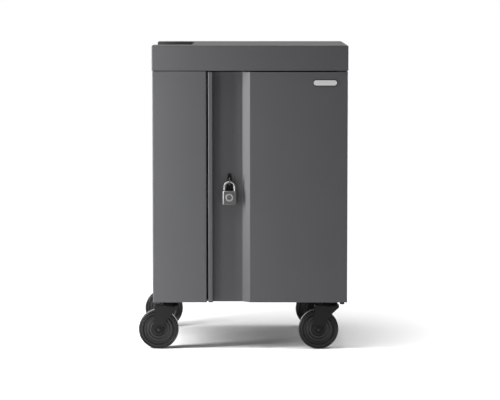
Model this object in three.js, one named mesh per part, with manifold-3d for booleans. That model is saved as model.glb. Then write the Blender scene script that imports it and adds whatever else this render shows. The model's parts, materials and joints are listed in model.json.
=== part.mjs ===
// Laptop charging cart: a folded steel cabinet on four swivel casters, with a pivoted door,
// two tiers of laptop slots, a charger bay beside them and a padlock on the door.
// Millimetres, +Z up, the front faces -Y, the origin is on the floor under the middle.
import * as THREE from "three";
import { mergeVertices } from "three/addons/utils/BufferGeometryUtils.js";
import Module from "manifold-3d";

const wasm = await Module();
wasm.setup();

// Overall sizes
const cabinetWidth = 616;
const cabinetDepth = 570;
const totalHeight = 967;
const skirtDrop = 5.5;

// Sheet metal
const sheet = 1.5;
const bendRadius = 3;
const bendSteps = 3;
const panelReturn = 8;
const trayLip = 22;

// Clearances
const seat = 0.3;
const runningGap = 0.4;
const doorGap = 5;
const doorTopGap = 4.3;
const doorBackGap = 1.2;
const sideGap = 4;
const coverReveal = 2;
const past = 1; // how far a cutting solid runs past the faces it cuts

// Top cover and hand notch
const coverHeight = 79;
const coverOverhang = 1.5;
const coverSheet = 2;
const coverCorner = 8;
const coverEdge = 3;
const coverLip = 18;
const coverRestRadius = 5;
const coverRestFromFront = 90;
const coverRestFromBack = 40;
const notchWidth = 125;
const notchFrontCheek = 110;
const notchBackCheek = 65;
const notchSideDrop = 46;
const notchCorner = 12;
const linerDepth = 66;
const linerWall = 2.5;
const gripRadius = 11;
const gripNeckRadius = 8.2;
const gripNeckLength = 6;
const gripTaper = 24;
const gripInset = 14;
const gripDrop = 28;

// Front: fixed panel, door and its channel
const fixedPanelWidth = 171.2;
const doorDepth = 22;
const doorFlangeHeight = 11.5;
const doorLeftFlange = 14.2;
const channelDepth = 24;
const channelFloor = 94.3;
const channelSlope = 22.9;
const doorBend = 2;
const stiffenerWidth = 60;
const stiffenerDepth = 16;
const stiffenerBrim = 16;
const stiffenerFlare = 4;
const plateWidth = 77.7;
const plateHeight = 20.8;
const plateThickness = 1.2;
const plateFromEdge = 71;
const plateFromTop = 34;

// Door pivots
const pivotInset = 9;
const pinRadius = 4;
const bushWall = 1.4;
const bushFlangeHeight = 1.2;
const bushLength = 8;
const hingePlateThickness = 3;
const hingePlateWidth = 24;
const hingePlateReach = 60;

// Lock
const lockAboveMiddle = 17.8;
const lockFromChannelMiddle = 5.65;
const lockStandOff = 11;
const tabThickness = 3.2;
const tabHeight = 24;
const tabReach = 9;
const tabHoleRadius = 5;
const tabSlotWidth = 8;
const tabSlotHeight = 50;
const tabFootWidth = 36;
const tabFootHeight = 62;
const tabFootThickness = 3;
const tabFootCorner = 4;
const shackleRod = 6.4;
const shackleWidth = 38.8;
const shackleRise = 32.4;
const shackleShortLeg = 8;
const shackleLongLeg = 24;
const shackleSteps = 28;
const padlockWidth = 48.3;
const padlockHeight = 42.5;
const padlockThickness = 15;
const padlockCorner = 6;
const padlockEdge = 1;
const padlockRingRadius = 12.8;
const padlockRingHole = 8.2;
const padlockRingHeight = 1;
const padlockRingDrop = 20;
const keyPlugRadius = 5.2;
const keyPlugLength = 14;
const keySlotLength = 7;
const keySlotWidth = 1.8;
const keySlotDepth = 4;

// Inside: shelf, racks, charger bay
const shelfAboveLock = 19.6;
const shelfFlange = 50;
const slotCount = 10;
const finThickness = 3;
const rackBase = 3;
const rackDepth = 400;
const rackFrontInset = 24;
const finHeadroom = 76;
const finFrontHeight = 110;
const finShoulder = 60;
const cableSlotWidth = 60;
const cableSlotCorner = 15;
const cableSlotRise = 90;
const cableSlotHeadroom = 46.5;
const cableSlotFromBack = 45;
const stripWidth = 58;
const stripDepth = 42;
const stripCorner = 5;
const stripRise = 30;
const stripHeadroom = 36.5;
const stripFromBack = 150;
const outletCount = 6;
const outletRadius = 17;
const outletRise = 2;
const strikeWidth = 44;
const strikeHeight = 46;
const strikeThickness = 3;
const strikeCorner = 5;

// Back panel
const ventLength = 110;
const ventHeight = 7;
const ventPitch = 24;
const ventRows = 4;
const ventGroupTop = 70;
const inletFlangeWidth = 50;
const inletFlangeHeight = 34;
const inletFlangeThickness = 2;
const inletBodyWidth = 34;
const inletBodyHeight = 25;
const inletBodyDepth = 22;
const inletCavityWidth = 25;
const inletCavityHeight = 17;
const inletCavityDepth = 16;
const inletBladeLength = 9;
const inletBladeWidth = 2;
const inletBladeHeight = 5;
const inletBladeShift = 2;
const inletRise = 70;

// Casters
const wheelRadius = 63.5;
const wheelWidth = 32;
const tyreThickness = 12.5;
const tyreEdge = 4;
const treadEdge = 5;
const rimLip = 3;
const rimThickness = 5;
const rimSlope = 4;
const wheelDish = 7;
const hubLength = 38;
const hubRadius = 16;
const hubFlare = 2;
const axleRadius = 5;
const axleHeadRadius = 8;
const axleHeadHeight = 5;
const axleWasherRadius = 11;
const axleWasherHeight = 1.6;
const casterTrail = 36.4;
const casterFromSide = 53.2;
const casterFromFront = 44.3;
const casterPlateLength = 92;
const casterPlateDepth = 60;
const casterPlateThickness = 3.5;
const casterPlateCorner = 6;
const wheelClearance = 10;
const forkSheet = 3;
const forkTopFront = 28.5;
const forkTopRear = 49;
const forkEye = 15;
const forkEyeTurn = 0.5; // radians past level where the front edge leaves the eye
const forkBow = 9;
const headRadius = 23;
const headHeight = 8;
const bearingHeight = 6.6;
const bearingWall = 14;
const bearingRound = 2;
const kingPinRadius = 6;
const kingNutRadius = 12;
const kingNutHeight = 6.5;
const roundSteps = 12;
const wheelSteps = 20;
const tyreSteps = 32;
const hexagon = 6;

// Derived planes
const left = -cabinetWidth / 2;
const right = cabinetWidth / 2;
const front = -cabinetDepth / 2;
const back = cabinetDepth / 2;
const frame = front + channelDepth + sheet + seat + tabFootThickness + doorBackGap;
const sideFront = front + doorDepth + sideGap;
const forkUnder = 2 * wheelRadius + wheelClearance;
const forkTop = forkUnder + forkSheet;
const headTop = forkTop + headHeight;
const bearingTop = headTop + seat + bearingHeight;
const plateUnder = bearingTop + seat;
const plateTop = plateUnder + casterPlateThickness;
const baseHeight = plateTop + seat;
const skirtBottom = baseHeight - skirtDrop;
const bodyTop = totalHeight - coverHeight;
const panelTop = bodyTop - coverReveal;
const roofTop = bodyTop - doorTopGap + seat;
const roofUnder = roofTop - sheet;
const innerLeft = left + sheet + seat;
const innerRight = right - sheet - seat;
const innerBack = back - sheet - seat;
const baseTop = baseHeight + sheet;
const jamb = left + fixedPanelWidth;
const partitionRight = jamb - sheet - seat;
const partitionLeft = partitionRight - sheet;
const bayLeft = partitionRight + seat;
const doorLeft = jamb + doorGap;
const doorTop = bodyTop - doorTopGap;
const doorFlange = skirtBottom + doorFlangeHeight;
const channelLeft = doorLeft + doorLeftFlange;
const slopeLeft = channelLeft + channelFloor;
const slopeRight = slopeLeft + channelSlope;
const pivot = new THREE.Vector2(right - pivotInset, front + pivotInset);
const bushRadius = pinRadius + runningGap + bushWall;
const lockX = (channelLeft + slopeLeft) / 2 + lockFromChannelMiddle;
const lockY = front + channelDepth - lockStandOff;
const lockAxisHeight = (skirtBottom + doorTop) / 2 + lockAboveMiddle;
const shelfTop = lockAxisHeight + shelfAboveLock;
const tierFloors = { lower: baseTop, upper: shelfTop };
const tierHeight = Math.min(shelfTop - sheet - baseTop, roofUnder - shelfTop);

const charcoal = 0x4b4d50;
const black = 0x1c1c1e;
const darkGrey = 0x2e2f31;
const steel = 0x9a9c9e;
const brass = 0xb08d57;

// Closed solid from a geometry, with its shared corners merged and empty triangles dropped
function solidOf(geometry) {
  geometry.deleteAttribute("normal");
  geometry.deleteAttribute("uv");
  const merged = mergeVertices(geometry, 1e-4);
  const corners = merged.index.array;
  const triangles = [];
  for (let i = 0; i < corners.length; i += 3) {
    const [a, b, c] = [corners[i], corners[i + 1], corners[i + 2]];
    if (a !== b && b !== c && c !== a) triangles.push(a, b, c);
  }
  return new wasm.Manifold(new wasm.Mesh({
    numProp: 3,
    vertProperties: new Float32Array(merged.attributes.position.array),
    triVerts: new Uint32Array(triangles),
  }));
}

function geometryOf(solid) {
  const mesh = solid.getMesh();
  const geometry = new THREE.BufferGeometry();
  geometry.setAttribute("position", new THREE.BufferAttribute(mesh.vertProperties, 3));
  geometry.setIndex(new THREE.BufferAttribute(mesh.triVerts, 1));
  geometry.computeVertexNormals();
  return geometry;
}

function join(...solids) {
  return solids.reduce((whole, piece) => whole.add(piece));
}

function cut(whole, ...tools) {
  return tools.reduce((rest, tool) => rest.subtract(tool), whole);
}

function block(x0, x1, y0, y1, z0, z1) {
  const box = new THREE.BoxGeometry(x1 - x0, y1 - y0, z1 - z0);
  return solidOf(box.translate((x0 + x1) / 2, (y0 + y1) / 2, (z0 + z1) / 2));
}

function extrusion(shape, depth, curveSegments = 4) {
  return new THREE.ExtrudeGeometry(shape, { depth, bevelEnabled: false, curveSegments });
}

// Shape drawn in plan, raised from z0 to z1
function prismZ(shape, z0, z1, curveSegments) {
  return solidOf(extrusion(shape, z1 - z0, curveSegments).translate(0, 0, z0));
}

// Shape drawn in X and Z, running from y0 back to y1
function prismY(shape, y0, y1, curveSegments) {
  return solidOf(extrusion(shape, y1 - y0, curveSegments).rotateX(Math.PI / 2).translate(0, y1, 0));
}

// Shape drawn in Y and Z, running from x0 to x1
function prismX(shape, x0, x1, curveSegments) {
  const turn = new THREE.Matrix4().makeBasis(
    new THREE.Vector3(0, 1, 0),
    new THREE.Vector3(0, 0, 1),
    new THREE.Vector3(1, 0, 0),
  );
  return solidOf(extrusion(shape, x1 - x0, curveSegments).applyMatrix4(turn).translate(x0, 0, 0));
}

function points(...pairs) {
  return pairs.map(([x, y]) => new THREE.Vector2(x, y));
}

function polygon(...pairs) {
  return new THREE.Shape(points(...pairs));
}

function roundedBox(x0, x1, y0, y1, radius) {
  const shape = new THREE.Shape();
  shape.moveTo(x0 + radius, y0);
  shape.lineTo(x1 - radius, y0);
  shape.absarc(x1 - radius, y0 + radius, radius, -Math.PI / 2, 0);
  shape.lineTo(x1, y1 - radius);
  shape.absarc(x1 - radius, y1 - radius, radius, 0, Math.PI / 2);
  shape.lineTo(x0 + radius, y1);
  shape.absarc(x0 + radius, y1 - radius, radius, Math.PI / 2, Math.PI);
  shape.lineTo(x0, y0 + radius);
  shape.absarc(x0 + radius, y0 + radius, radius, Math.PI, 1.5 * Math.PI);
  return shape;
}

// Slot with round ends
function obround(x0, x1, y0, y1) {
  return roundedBox(x0, x1, y0, y1, Math.min(x1 - x0, y1 - y0) / 2);
}

// Turned shape around Z, from radius and height pairs
function turnedZ(steps, ...pairs) {
  return solidOf(new THREE.LatheGeometry(points(...pairs), steps).rotateX(Math.PI / 2));
}

// Turned shape around Y, with a flat facet facing down
function turnedY(steps, ...pairs) {
  return solidOf(new THREE.LatheGeometry(points(...pairs), steps, Math.PI / steps));
}

// Turned shape around Y with two like ends, from the pairs of its +Y half, outermost first
function turnedAlike(steps, ...pairs) {
  const otherHalf = pairs.map(([radius, y]) => [radius, -y]).reverse();
  const profile = [...otherHalf, ...pairs];
  const isRing = profile[0][0] > 0;
  return isRing ? turnedY(steps, ...profile, profile[0]) : turnedY(steps, ...profile);
}

function rod(radius, z0, z1) {
  return turnedZ(roundSteps, [0, z0], [radius, z0], [radius, z1], [0, z1]);
}

// Point beside a path, at right angles to it
function beside(path, i, distance) {
  const here = path[i];
  const before = here.clone().sub(path[Math.max(i - 1, 0)]).normalize();
  const after = path[Math.min(i + 1, path.length - 1)].clone().sub(here).normalize();
  const along = before.clone().add(after).normalize();
  const stretch = distance / Math.max(along.dot(i ? before : after), 0.5);
  return new THREE.Vector2(here.x - along.y * stretch, here.y + along.x * stretch);
}

// Section of a bent sheet, from the line through the middle of its thickness
function bentSheet(line, thickness, radius) {
  const path = [line[0]];
  for (let i = 1; i < line.length - 1; i += 1) {
    const start = line[i - 1].clone().sub(line[i]).setLength(radius).add(line[i]);
    const end = line[i + 1].clone().sub(line[i]).setLength(radius).add(line[i]);
    path.push(...new THREE.QuadraticBezierCurve(start, line[i], end).getPoints(bendSteps));
  }
  path.push(line[line.length - 1]);
  const oneSide = path.map((_, i) => beside(path, i, thickness / 2));
  const otherSide = path.map((_, i) => beside(path, i, -thickness / 2));
  return new THREE.Shape([...oneSide, ...otherSide.reverse()]);
}

const cart = new THREE.Group();

function add(group, name, solid, color, roughness, metalness) {
  const material = new THREE.MeshStandardMaterial({ color, roughness, metalness });
  const mesh = new THREE.Mesh(geometryOf(solid), material);
  mesh.name = name;
  group.add(mesh);
}

const painted = (group, name, solid) => add(group, name, solid, charcoal, 0.55, 0.3);
const moulded = (group, name, solid) => add(group, name, solid, black, 0.6, 0);
const plated = (group, name, solid) => add(group, name, solid, steel, 0.35, 0.9);
const enamelled = (group, name, solid) => add(group, name, solid, black, 0.5, 0.4);
const blackened = (group, name, solid) => add(group, name, solid, darkGrey, 0.45, 0.8);

// Cabinet sheets
const half = sheet / 2;

function leftSidePanel() {
  const line = points(
    [left + half, innerBack],
    [left + half, front + half],
    [jamb - half, front + half],
    [jamb - half, frame],
  );
  return prismZ(bentSheet(line, sheet, bendRadius), skirtBottom, panelTop);
}

function rightSidePanel() {
  const line = points(
    [right - half, innerBack],
    [right - half, sideFront + half],
    [right - panelReturn, sideFront + half],
  );
  const panel = prismZ(bentSheet(line, sheet, bendRadius), skirtBottom, panelTop);
  const footNotch = block(
    right - 2 * panelReturn, right - sheet - bendRadius,
    sideFront - sheet, sideFront + 2 * sheet,
    skirtBottom - sheet, baseTop + seat,
  );
  return cut(panel, footNotch);
}

const pivotEar = pivotInset - sheet - runningGap;

function atPivot(solid) {
  return solid.translate([pivot.x, pivot.y, 0]);
}

// The base runs forward under the door, stepped round the channel and the pivot corner,
// with an apron that hangs down behind the channel
function basePan() {
  const nearFront = front + sheet + seat;
  const doorSide = front + sheet + bendRadius;
  const baseEdge = right - panelReturn - sheet;
  const floor = polygon(
    [innerLeft, nearFront + bendRadius],
    [innerLeft + bendRadius, nearFront],
    [partitionRight - bendRadius, nearFront],
    [partitionRight, nearFront + bendRadius],
    [partitionRight, frame + sheet],
    [slopeRight + bendRadius, frame + sheet],
    [slopeRight + bendRadius, doorSide],
    [baseEdge, doorSide],
    [baseEdge, frame + 2 * sheet],
    [innerRight, frame + 2 * sheet],
    [innerRight, innerBack],
    [innerLeft, innerBack],
  );
  const lip = (x0, x1, y0) => block(x0, x1, y0, innerBack, baseHeight, baseHeight + trayLip);
  const lips = [
    lip(innerRight - sheet, innerRight, frame + 2 * sheet),
    lip(innerLeft, innerLeft + sheet, nearFront + bendRadius),
    lip(innerLeft, innerRight, innerBack - sheet),
  ];
  const apron = block(
    partitionRight, slopeRight + bendRadius,
    frame + sheet, frame + 2 * sheet,
    skirtBottom, baseTop,
  );
  const ear = atPivot(rod(pivotEar, baseHeight, baseTop));
  const pinHole = atPivot(rod(pinRadius + seat, baseHeight - past, baseTop + past));
  return cut(join(prismZ(floor, baseHeight, baseTop), apron, ear, ...lips), pinHole);
}

const roofFront = frame + sheet + bendRadius;

// Roof tray, with four pressed rests that carry the cover's lip
function roofPanel() {
  const outer = block(innerLeft, innerRight, roofFront, innerBack, roofTop - trayLip, roofTop);
  const inner = block(
    innerLeft + sheet, innerRight - sheet,
    roofFront + sheet, innerBack - sheet,
    roofTop - 2 * trayLip, roofUnder,
  );
  const restX = [innerLeft + 1.5 * coverRestRadius, innerRight - 1.5 * coverRestRadius];
  const restY = [roofFront + coverRestFromFront, innerBack - coverRestFromBack];
  const rests = restX.flatMap((x) => restY.map((y) => (
    rod(coverRestRadius, roofUnder, bodyTop - seat).translate([x, y, 0])
  )));
  return join(cut(outer, inner), ...rests);
}

function ventSlots(centreX, topZ) {
  return Array.from({ length: ventRows }, (_, row) => {
    const z = topZ - row * ventPitch;
    const slot = obround(
      centreX - ventLength / 2, centreX + ventLength / 2,
      z - ventHeight / 2, z + ventHeight / 2,
    );
    return prismY(slot, back - 2 * sheet, back + sheet, 1);
  });
}

const chargerBayMiddle = (left + jamb) / 2;
const inletZ = baseTop + inletRise;

function backPanel() {
  const panel = block(left, right, back - sheet, back, skirtBottom, bodyTop - seat);
  const bayMiddle = (jamb + right) / 2;
  const columns = [chargerBayMiddle, bayMiddle - ventLength, bayMiddle + ventLength];
  const tops = [panelTop - ventGroupTop, shelfTop - ventGroupTop];
  const vents = tops.flatMap((top) => columns.flatMap((x) => ventSlots(x, top)));
  const inletHole = block(
    chargerBayMiddle - inletBodyWidth / 2 - seat, chargerBayMiddle + inletBodyWidth / 2 + seat,
    back - 2 * sheet, back + sheet,
    inletZ - inletBodyHeight / 2 - seat, inletZ + inletBodyHeight / 2 + seat,
  );
  return cut(panel, ...vents, inletHole);
}

function bayPartition() {
  const wall = block(
    partitionLeft, partitionRight,
    (front + frame) / 2, innerBack - sheet - seat,
    baseTop + seat, roofUnder - seat,
  );
  const slots = Object.values(tierFloors).map((floor) => prismX(
    roundedBox(
      innerBack - cableSlotFromBack - cableSlotWidth, innerBack - cableSlotFromBack,
      floor + cableSlotRise, floor + tierHeight - cableSlotHeadroom,
      cableSlotCorner,
    ),
    partitionLeft - sheet, partitionRight + sheet, 2,
  ));
  const lipNotch = block(
    partitionLeft - sheet, partitionRight + sheet,
    front, roofFront + sheet + seat,
    roofTop - trayLip - seat, roofTop,
  );
  return cut(wall, lipNotch, ...slots);
}

const shelfFront = frame + strikeThickness + 2 * sheet + seat;

function middleShelf() {
  const outer = block(bayLeft, innerRight, shelfFront, innerBack, shelfTop - shelfFlange, shelfTop);
  const inner = block(
    bayLeft - sheet, innerRight + sheet,
    shelfFront + sheet, innerBack + sheet,
    shelfTop - 2 * shelfFlange, shelfTop - sheet,
  );
  return cut(outer, inner);
}

const rackLeft = bayLeft + sheet;
const rackRight = right - panelReturn - sheet;
const slotPitch = (rackRight - rackLeft - finThickness) / slotCount;
const rackFront = shelfFront + rackFrontInset;
const finRearHeight = tierHeight - seat - finHeadroom;

// Comb of upright fins on one base, each swept down towards the front
function slotRack(floor) {
  const foot = floor + seat;
  const rackBack = rackFront + rackDepth;
  const rackMiddle = rackFront + rackDepth / 2;
  const rearTop = foot + finRearHeight;
  const frontTop = foot + finFrontHeight;
  const fin = new THREE.Shape();
  fin.moveTo(rackFront, foot);
  fin.lineTo(rackBack, foot);
  fin.lineTo(rackBack, rearTop - finShoulder / 2);
  fin.quadraticCurveTo(rackBack, rearTop, rackBack - finShoulder, rearTop);
  fin.bezierCurveTo(rackMiddle, rearTop, rackMiddle, frontTop, rackFront + finShoulder / 2, frontTop);
  fin.quadraticCurveTo(rackFront, frontTop, rackFront, frontTop - finShoulder / 2);
  const fins = Array.from({ length: slotCount + 1 }, (_, i) => {
    const x = rackLeft + i * slotPitch;
    return prismX(fin, x, x + finThickness, 3);
  });
  return join(block(rackLeft, rackRight, rackFront, rackBack, foot, foot + rackBase), ...fins);
}

// Strip of round outlets on the charger bay's side of the partition
function outletStrip(floor) {
  const stripRight = partitionLeft - seat;
  const stripBack = innerBack - stripFromBack;
  const middle = stripBack - stripWidth / 2;
  const low = floor + stripRise;
  const stripHeight = tierHeight - stripRise - stripHeadroom;
  const body = prismZ(
    roundedBox(stripRight - stripDepth, stripRight, stripBack - stripWidth, stripBack, stripCorner),
    low, low + stripHeight, 2,
  );
  const outlets = Array.from({ length: outletCount }, (_, i) => {
    const z = low + (i + 0.5) * (stripHeight / outletCount);
    const boss = rod(outletRadius, -outletRise, outletRise).rotate([0, 90, 0]);
    return boss.translate([stripRight - stripDepth, middle, z]);
  });
  return join(body, ...outlets);
}

function powerInlet() {
  const centred = (width, y0, y1, height) => block(
    chargerBayMiddle - width / 2, chargerBayMiddle + width / 2,
    y0, y1,
    inletZ - height / 2, inletZ + height / 2,
  );
  const face = back + seat + inletFlangeThickness;
  const flange = centred(inletFlangeWidth, back + seat, face, inletFlangeHeight);
  const body = centred(inletBodyWidth, face - inletBodyDepth, face, inletBodyHeight);
  const bottom = face - inletCavityDepth;
  const cavity = centred(inletCavityWidth, bottom, face + past, inletCavityHeight);
  const blades = [-1, 0, 1].map((side) => {
    const blade = centred(inletBladeWidth, bottom - past, bottom + inletBladeLength, inletBladeHeight);
    const shift = side ? -inletBladeShift : inletBladeShift;
    return blade.translate([side * inletCavityWidth / 4, 0, shift]);
  });
  return join(cut(join(flange, body), cavity), ...blades);
}

// Cover: a lid with rounded corners and top edge, hollow from below, with a lip to sit on
const coverLeft = left - coverOverhang;
const coverRight = right + coverOverhang;
const coverFront = front - coverOverhang;
const coverBack = back + coverOverhang;
const notchRight = coverLeft + notchWidth;
const notchFront = coverFront + notchFrontCheek;
const notchBack = coverBack - notchBackCheek;
const notchLow = totalHeight - notchSideDrop;

function coverOutline(inset, radius) {
  return roundedBox(
    coverLeft + inset, coverRight - inset,
    coverFront + inset, coverBack - inset,
    radius,
  );
}

function topCover() {
  const outline = coverOutline(coverEdge, coverCorner - coverEdge);
  const shell = new THREE.ExtrudeGeometry(outline, {
    depth: coverHeight,
    bevelSize: coverEdge,
    bevelThickness: coverEdge,
    bevelSegments: 2,
    curveSegments: 3,
  });
  const lid = solidOf(shell.translate(0, 0, bodyTop - coverEdge));
  const low = bodyTop + coverSheet;
  const below = prismZ(coverOutline(-coverEdge, coverCorner), bodyTop - 2 * coverEdge, bodyTop);
  const inside = coverOutline(coverSheet, coverCorner - coverSheet);
  const hollow = prismZ(inside, low, totalHeight - coverSheet);
  const mouth = prismZ(coverOutline(coverLip, coverCorner), bodyTop - past, low + past);
  const notch = prismZ(
    roundedBox(coverLeft - notchWidth, notchRight, notchFront, notchBack, notchCorner),
    notchLow, totalHeight + coverEdge,
  );
  return cut(lid, below, hollow, mouth, notch);
}

// Dark tray under the notch, open to the left above the cover's lowered side
const linerLeft = coverLeft + coverSheet + seat;
const linerTop = totalHeight - coverSheet - seat;
const linerFloor = totalHeight - linerDepth;

function notchLiner() {
  const beyond = linerLeft - notchWidth;
  const outer = roundedBox(
    beyond, notchRight + linerWall,
    notchFront - linerWall, notchBack + linerWall,
    notchCorner + linerWall,
  );
  const inner = roundedBox(beyond, notchRight, notchFront, notchBack, notchCorner);
  const tray = cut(
    prismZ(outer, linerFloor - linerWall, linerTop),
    prismZ(inner, linerFloor, totalHeight),
    block(beyond - past, linerLeft, coverFront, coverBack, bodyTop, totalHeight),
  );
  const lowSide = block(
    linerLeft, linerLeft + linerWall,
    notchFront - linerWall / 2, notchBack + linerWall / 2,
    linerFloor - linerWall / 2, notchLow,
  );
  return join(tray, lowSide);
}

function pushGrip() {
  const end = (notchBack - notchFront) / 2 - seat;
  const neck = end - gripNeckLength;
  const bar = turnedAlike(
    roundSteps,
    [gripRadius, neck - gripTaper], [gripNeckRadius, neck], [gripNeckRadius, end], [0, end],
  );
  const middle = (notchFront + notchBack) / 2;
  return bar.translate([coverLeft + gripInset, middle, totalHeight - gripDrop]);
}

// Strike plate on the shelf's front, which the door's lock tab closes against
function lockStrike() {
  const strikeBack = shelfFront - seat;
  const top = shelfTop - sheet;
  const outline = roundedBox(
    lockX - strikeWidth / 2, lockX + strikeWidth / 2,
    top - strikeHeight, top,
    strikeCorner,
  );
  return prismY(outline, strikeBack - strikeThickness, strikeBack, 2);
}

// Pivots: a plate above the door holds the upper pin, the base holds the lower one
function upperHingePlate() {
  const low = roofTop + seat;
  const high = low + hingePlateThickness;
  const strap = block(
    pivot.x - hingePlateWidth, pivot.x,
    pivot.y - pivotEar, frame + hingePlateReach,
    low, high,
  );
  const hole = atPivot(rod(pinRadius + seat, low - past, high + past));
  return cut(join(strap, atPivot(rod(pivotEar, low, high))), hole);
}

function upperHingePin() {
  return atPivot(rod(pinRadius, doorTop - sheet - bushLength, roofTop + seat + hingePlateThickness));
}

function lowerHingePin() {
  const collarTop = doorFlange - 2 * seat - bushFlangeHeight;
  return atPivot(turnedZ(
    roundSteps,
    [0, baseHeight], [pinRadius, baseHeight], [pinRadius, baseTop + seat],
    [pivotEar, baseTop + seat], [pivotEar, collarTop], [pinRadius, collarTop],
    [pinRadius, doorFlange + sheet + bushLength], [0, doorFlange + sheet + bushLength],
  ));
}

// Flanged bush in a door flange: the flange lies under the sheet that starts at height z
function hingeBush(z, top) {
  const bore = pinRadius + runningGap;
  const under = z - seat;
  return atPivot(turnedZ(
    roundSteps,
    [bore, under - bushFlangeHeight], [pivotEar, under - bushFlangeHeight], [pivotEar, under],
    [bushRadius, under], [bushRadius, top], [bore, top], [bore, under - bushFlangeHeight],
  ));
}

// Door: one folded sheet with the channel, closed by flanges at its top and bottom
function doorPanel() {
  const skinLine = points(
    [doorLeft + half, front + doorDepth],
    [doorLeft + half, front + half],
    [channelLeft - half, front + half],
    [channelLeft - half, front + channelDepth + half],
    [slopeLeft, front + channelDepth + half],
    [slopeRight, front + half],
    [right - half, front + half],
    [right - half, front + doorDepth],
  );
  const skin = prismZ(bentSheet(skinLine, sheet, doorBend), skirtBottom, doorTop);
  const slopeRun = channelSlope * (doorDepth / channelDepth);
  const wide = polygon(
    [slopeRight, front + half],
    [right - half, front + half],
    [right - half, front + doorDepth],
    [slopeRight - slopeRun, front + doorDepth],
  );
  const narrow = polygon(
    [doorLeft + half, front + half],
    [channelLeft - half, front + half],
    [channelLeft - half, front + doorDepth],
    [doorLeft + half, front + doorDepth],
  );
  const flanges = [doorFlange, doorTop - sheet].flatMap((z) => [
    prismZ(wide, z, z + sheet),
    prismZ(narrow, z, z + sheet),
  ]);
  const apron = block(
    right - 2 * sheet, right + sheet,
    front + half + doorBend, front + 2 * doorDepth,
    skirtBottom - sheet, doorFlange,
  );
  const bushHole = rod(bushRadius + seat, skirtBottom, doorTop + sheet);
  const slotMiddle = lockAxisHeight + seat;
  const tabSlot = prismY(
    obround(
      lockX - tabSlotWidth / 2, lockX + tabSlotWidth / 2,
      slotMiddle - tabSlotHeight / 2, slotMiddle + tabSlotHeight / 2,
    ),
    front + channelDepth - sheet, front + channelDepth + 2 * sheet, 3,
  );
  return cut(join(skin, ...flanges), apron, atPivot(bushHole), tabSlot);
}

// Upright hat section behind the door's wide face
function doorStiffener() {
  const foot = front + sheet + seat + half;
  const middle = (slopeRight + right) / 2;
  const wing = stiffenerWidth / 2;
  const section = points(
    [middle - wing - stiffenerBrim, foot],
    [middle - wing, foot],
    [middle - wing + stiffenerFlare, foot + stiffenerDepth],
    [middle + wing - stiffenerFlare, foot + stiffenerDepth],
    [middle + wing, foot],
    [middle + wing + stiffenerBrim, foot],
  );
  return prismZ(bentSheet(section, sheet, doorBend), doorFlange + sheet + seat, doorTop - sheet - seat);
}

function namePlate() {
  const middleX = right - plateFromEdge;
  const middleZ = doorTop - plateFromTop;
  const outline = obround(
    middleX - plateWidth / 2, middleX + plateWidth / 2,
    middleZ - plateHeight / 2, middleZ + plateHeight / 2,
  );
  return prismY(outline, front - seat - plateThickness, front - seat, 5);
}

const tabHoleZ = lockAxisHeight + tabHoleRadius - shackleRod / 2 - seat;

function lockTab() {
  const footFront = front + channelDepth + sheet + seat;
  const footBack = footFront + tabFootThickness;
  const foot = prismY(
    roundedBox(
      lockX - tabFootWidth / 2, lockX + tabFootWidth / 2,
      tabHoleZ - tabFootHeight / 2, tabHoleZ + tabFootHeight / 2,
      tabFootCorner,
    ),
    footFront, footBack, 2,
  );
  const nose = lockY - tabReach;
  const blade = new THREE.Shape();
  blade.moveTo(footBack - tabFootThickness / 2, tabHoleZ - tabHeight / 2);
  blade.lineTo(footBack - tabFootThickness / 2, tabHoleZ + tabHeight / 2);
  blade.lineTo(nose + tabReach, tabHoleZ + tabHeight / 2);
  blade.quadraticCurveTo(nose, tabHoleZ + tabHeight / 2, nose, tabHoleZ);
  blade.quadraticCurveTo(nose, tabHoleZ - tabHeight / 2, nose + tabReach, tabHoleZ - tabHeight / 2);
  const hole = new THREE.Path();
  hole.absarc(lockY, tabHoleZ, tabHoleRadius, 0, 2 * Math.PI, true);
  blade.holes.push(hole);
  return join(foot, prismX(blade, lockX - tabThickness / 2, lockX + tabThickness / 2, 7));
}

// Padlock, in its own frame: the origin is the middle of the shackle's crown, where it hangs
const crownRadius = (shackleWidth - shackleRod) / 2;
const padlockTop = shackleRod / 2 - shackleRise;
const padlockBottom = padlockTop - padlockHeight;

class ShacklePath extends THREE.Curve {
  getPoint(t, target = new THREE.Vector3()) {
    const shortEnd = padlockTop - shackleShortLeg;
    const longEnd = padlockTop - shackleLongLeg;
    const shortRun = -crownRadius - shortEnd;
    const arcRun = Math.PI * crownRadius;
    const longRun = -crownRadius - longEnd;
    const wholeRun = shortRun + arcRun + longRun;
    const run = t * wholeRun;
    if (run < shortRun) return target.set(crownRadius, 0, shortEnd + run);
    if (run > wholeRun - longRun) return target.set(-crownRadius, 0, longEnd + wholeRun - run);
    const angle = (run - shortRun) / crownRadius;
    return target.set(crownRadius * Math.cos(angle), 0, crownRadius * (Math.sin(angle) - 1));
  }
}

function padlockShackle() {
  const round = new THREE.Shape();
  round.absarc(0, 0, shackleRod / 2, 0, 2 * Math.PI);
  return solidOf(new THREE.ExtrudeGeometry(round, {
    steps: shackleSteps,
    curveSegments: 4,
    extrudePath: new ShacklePath(),
  }));
}

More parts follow.
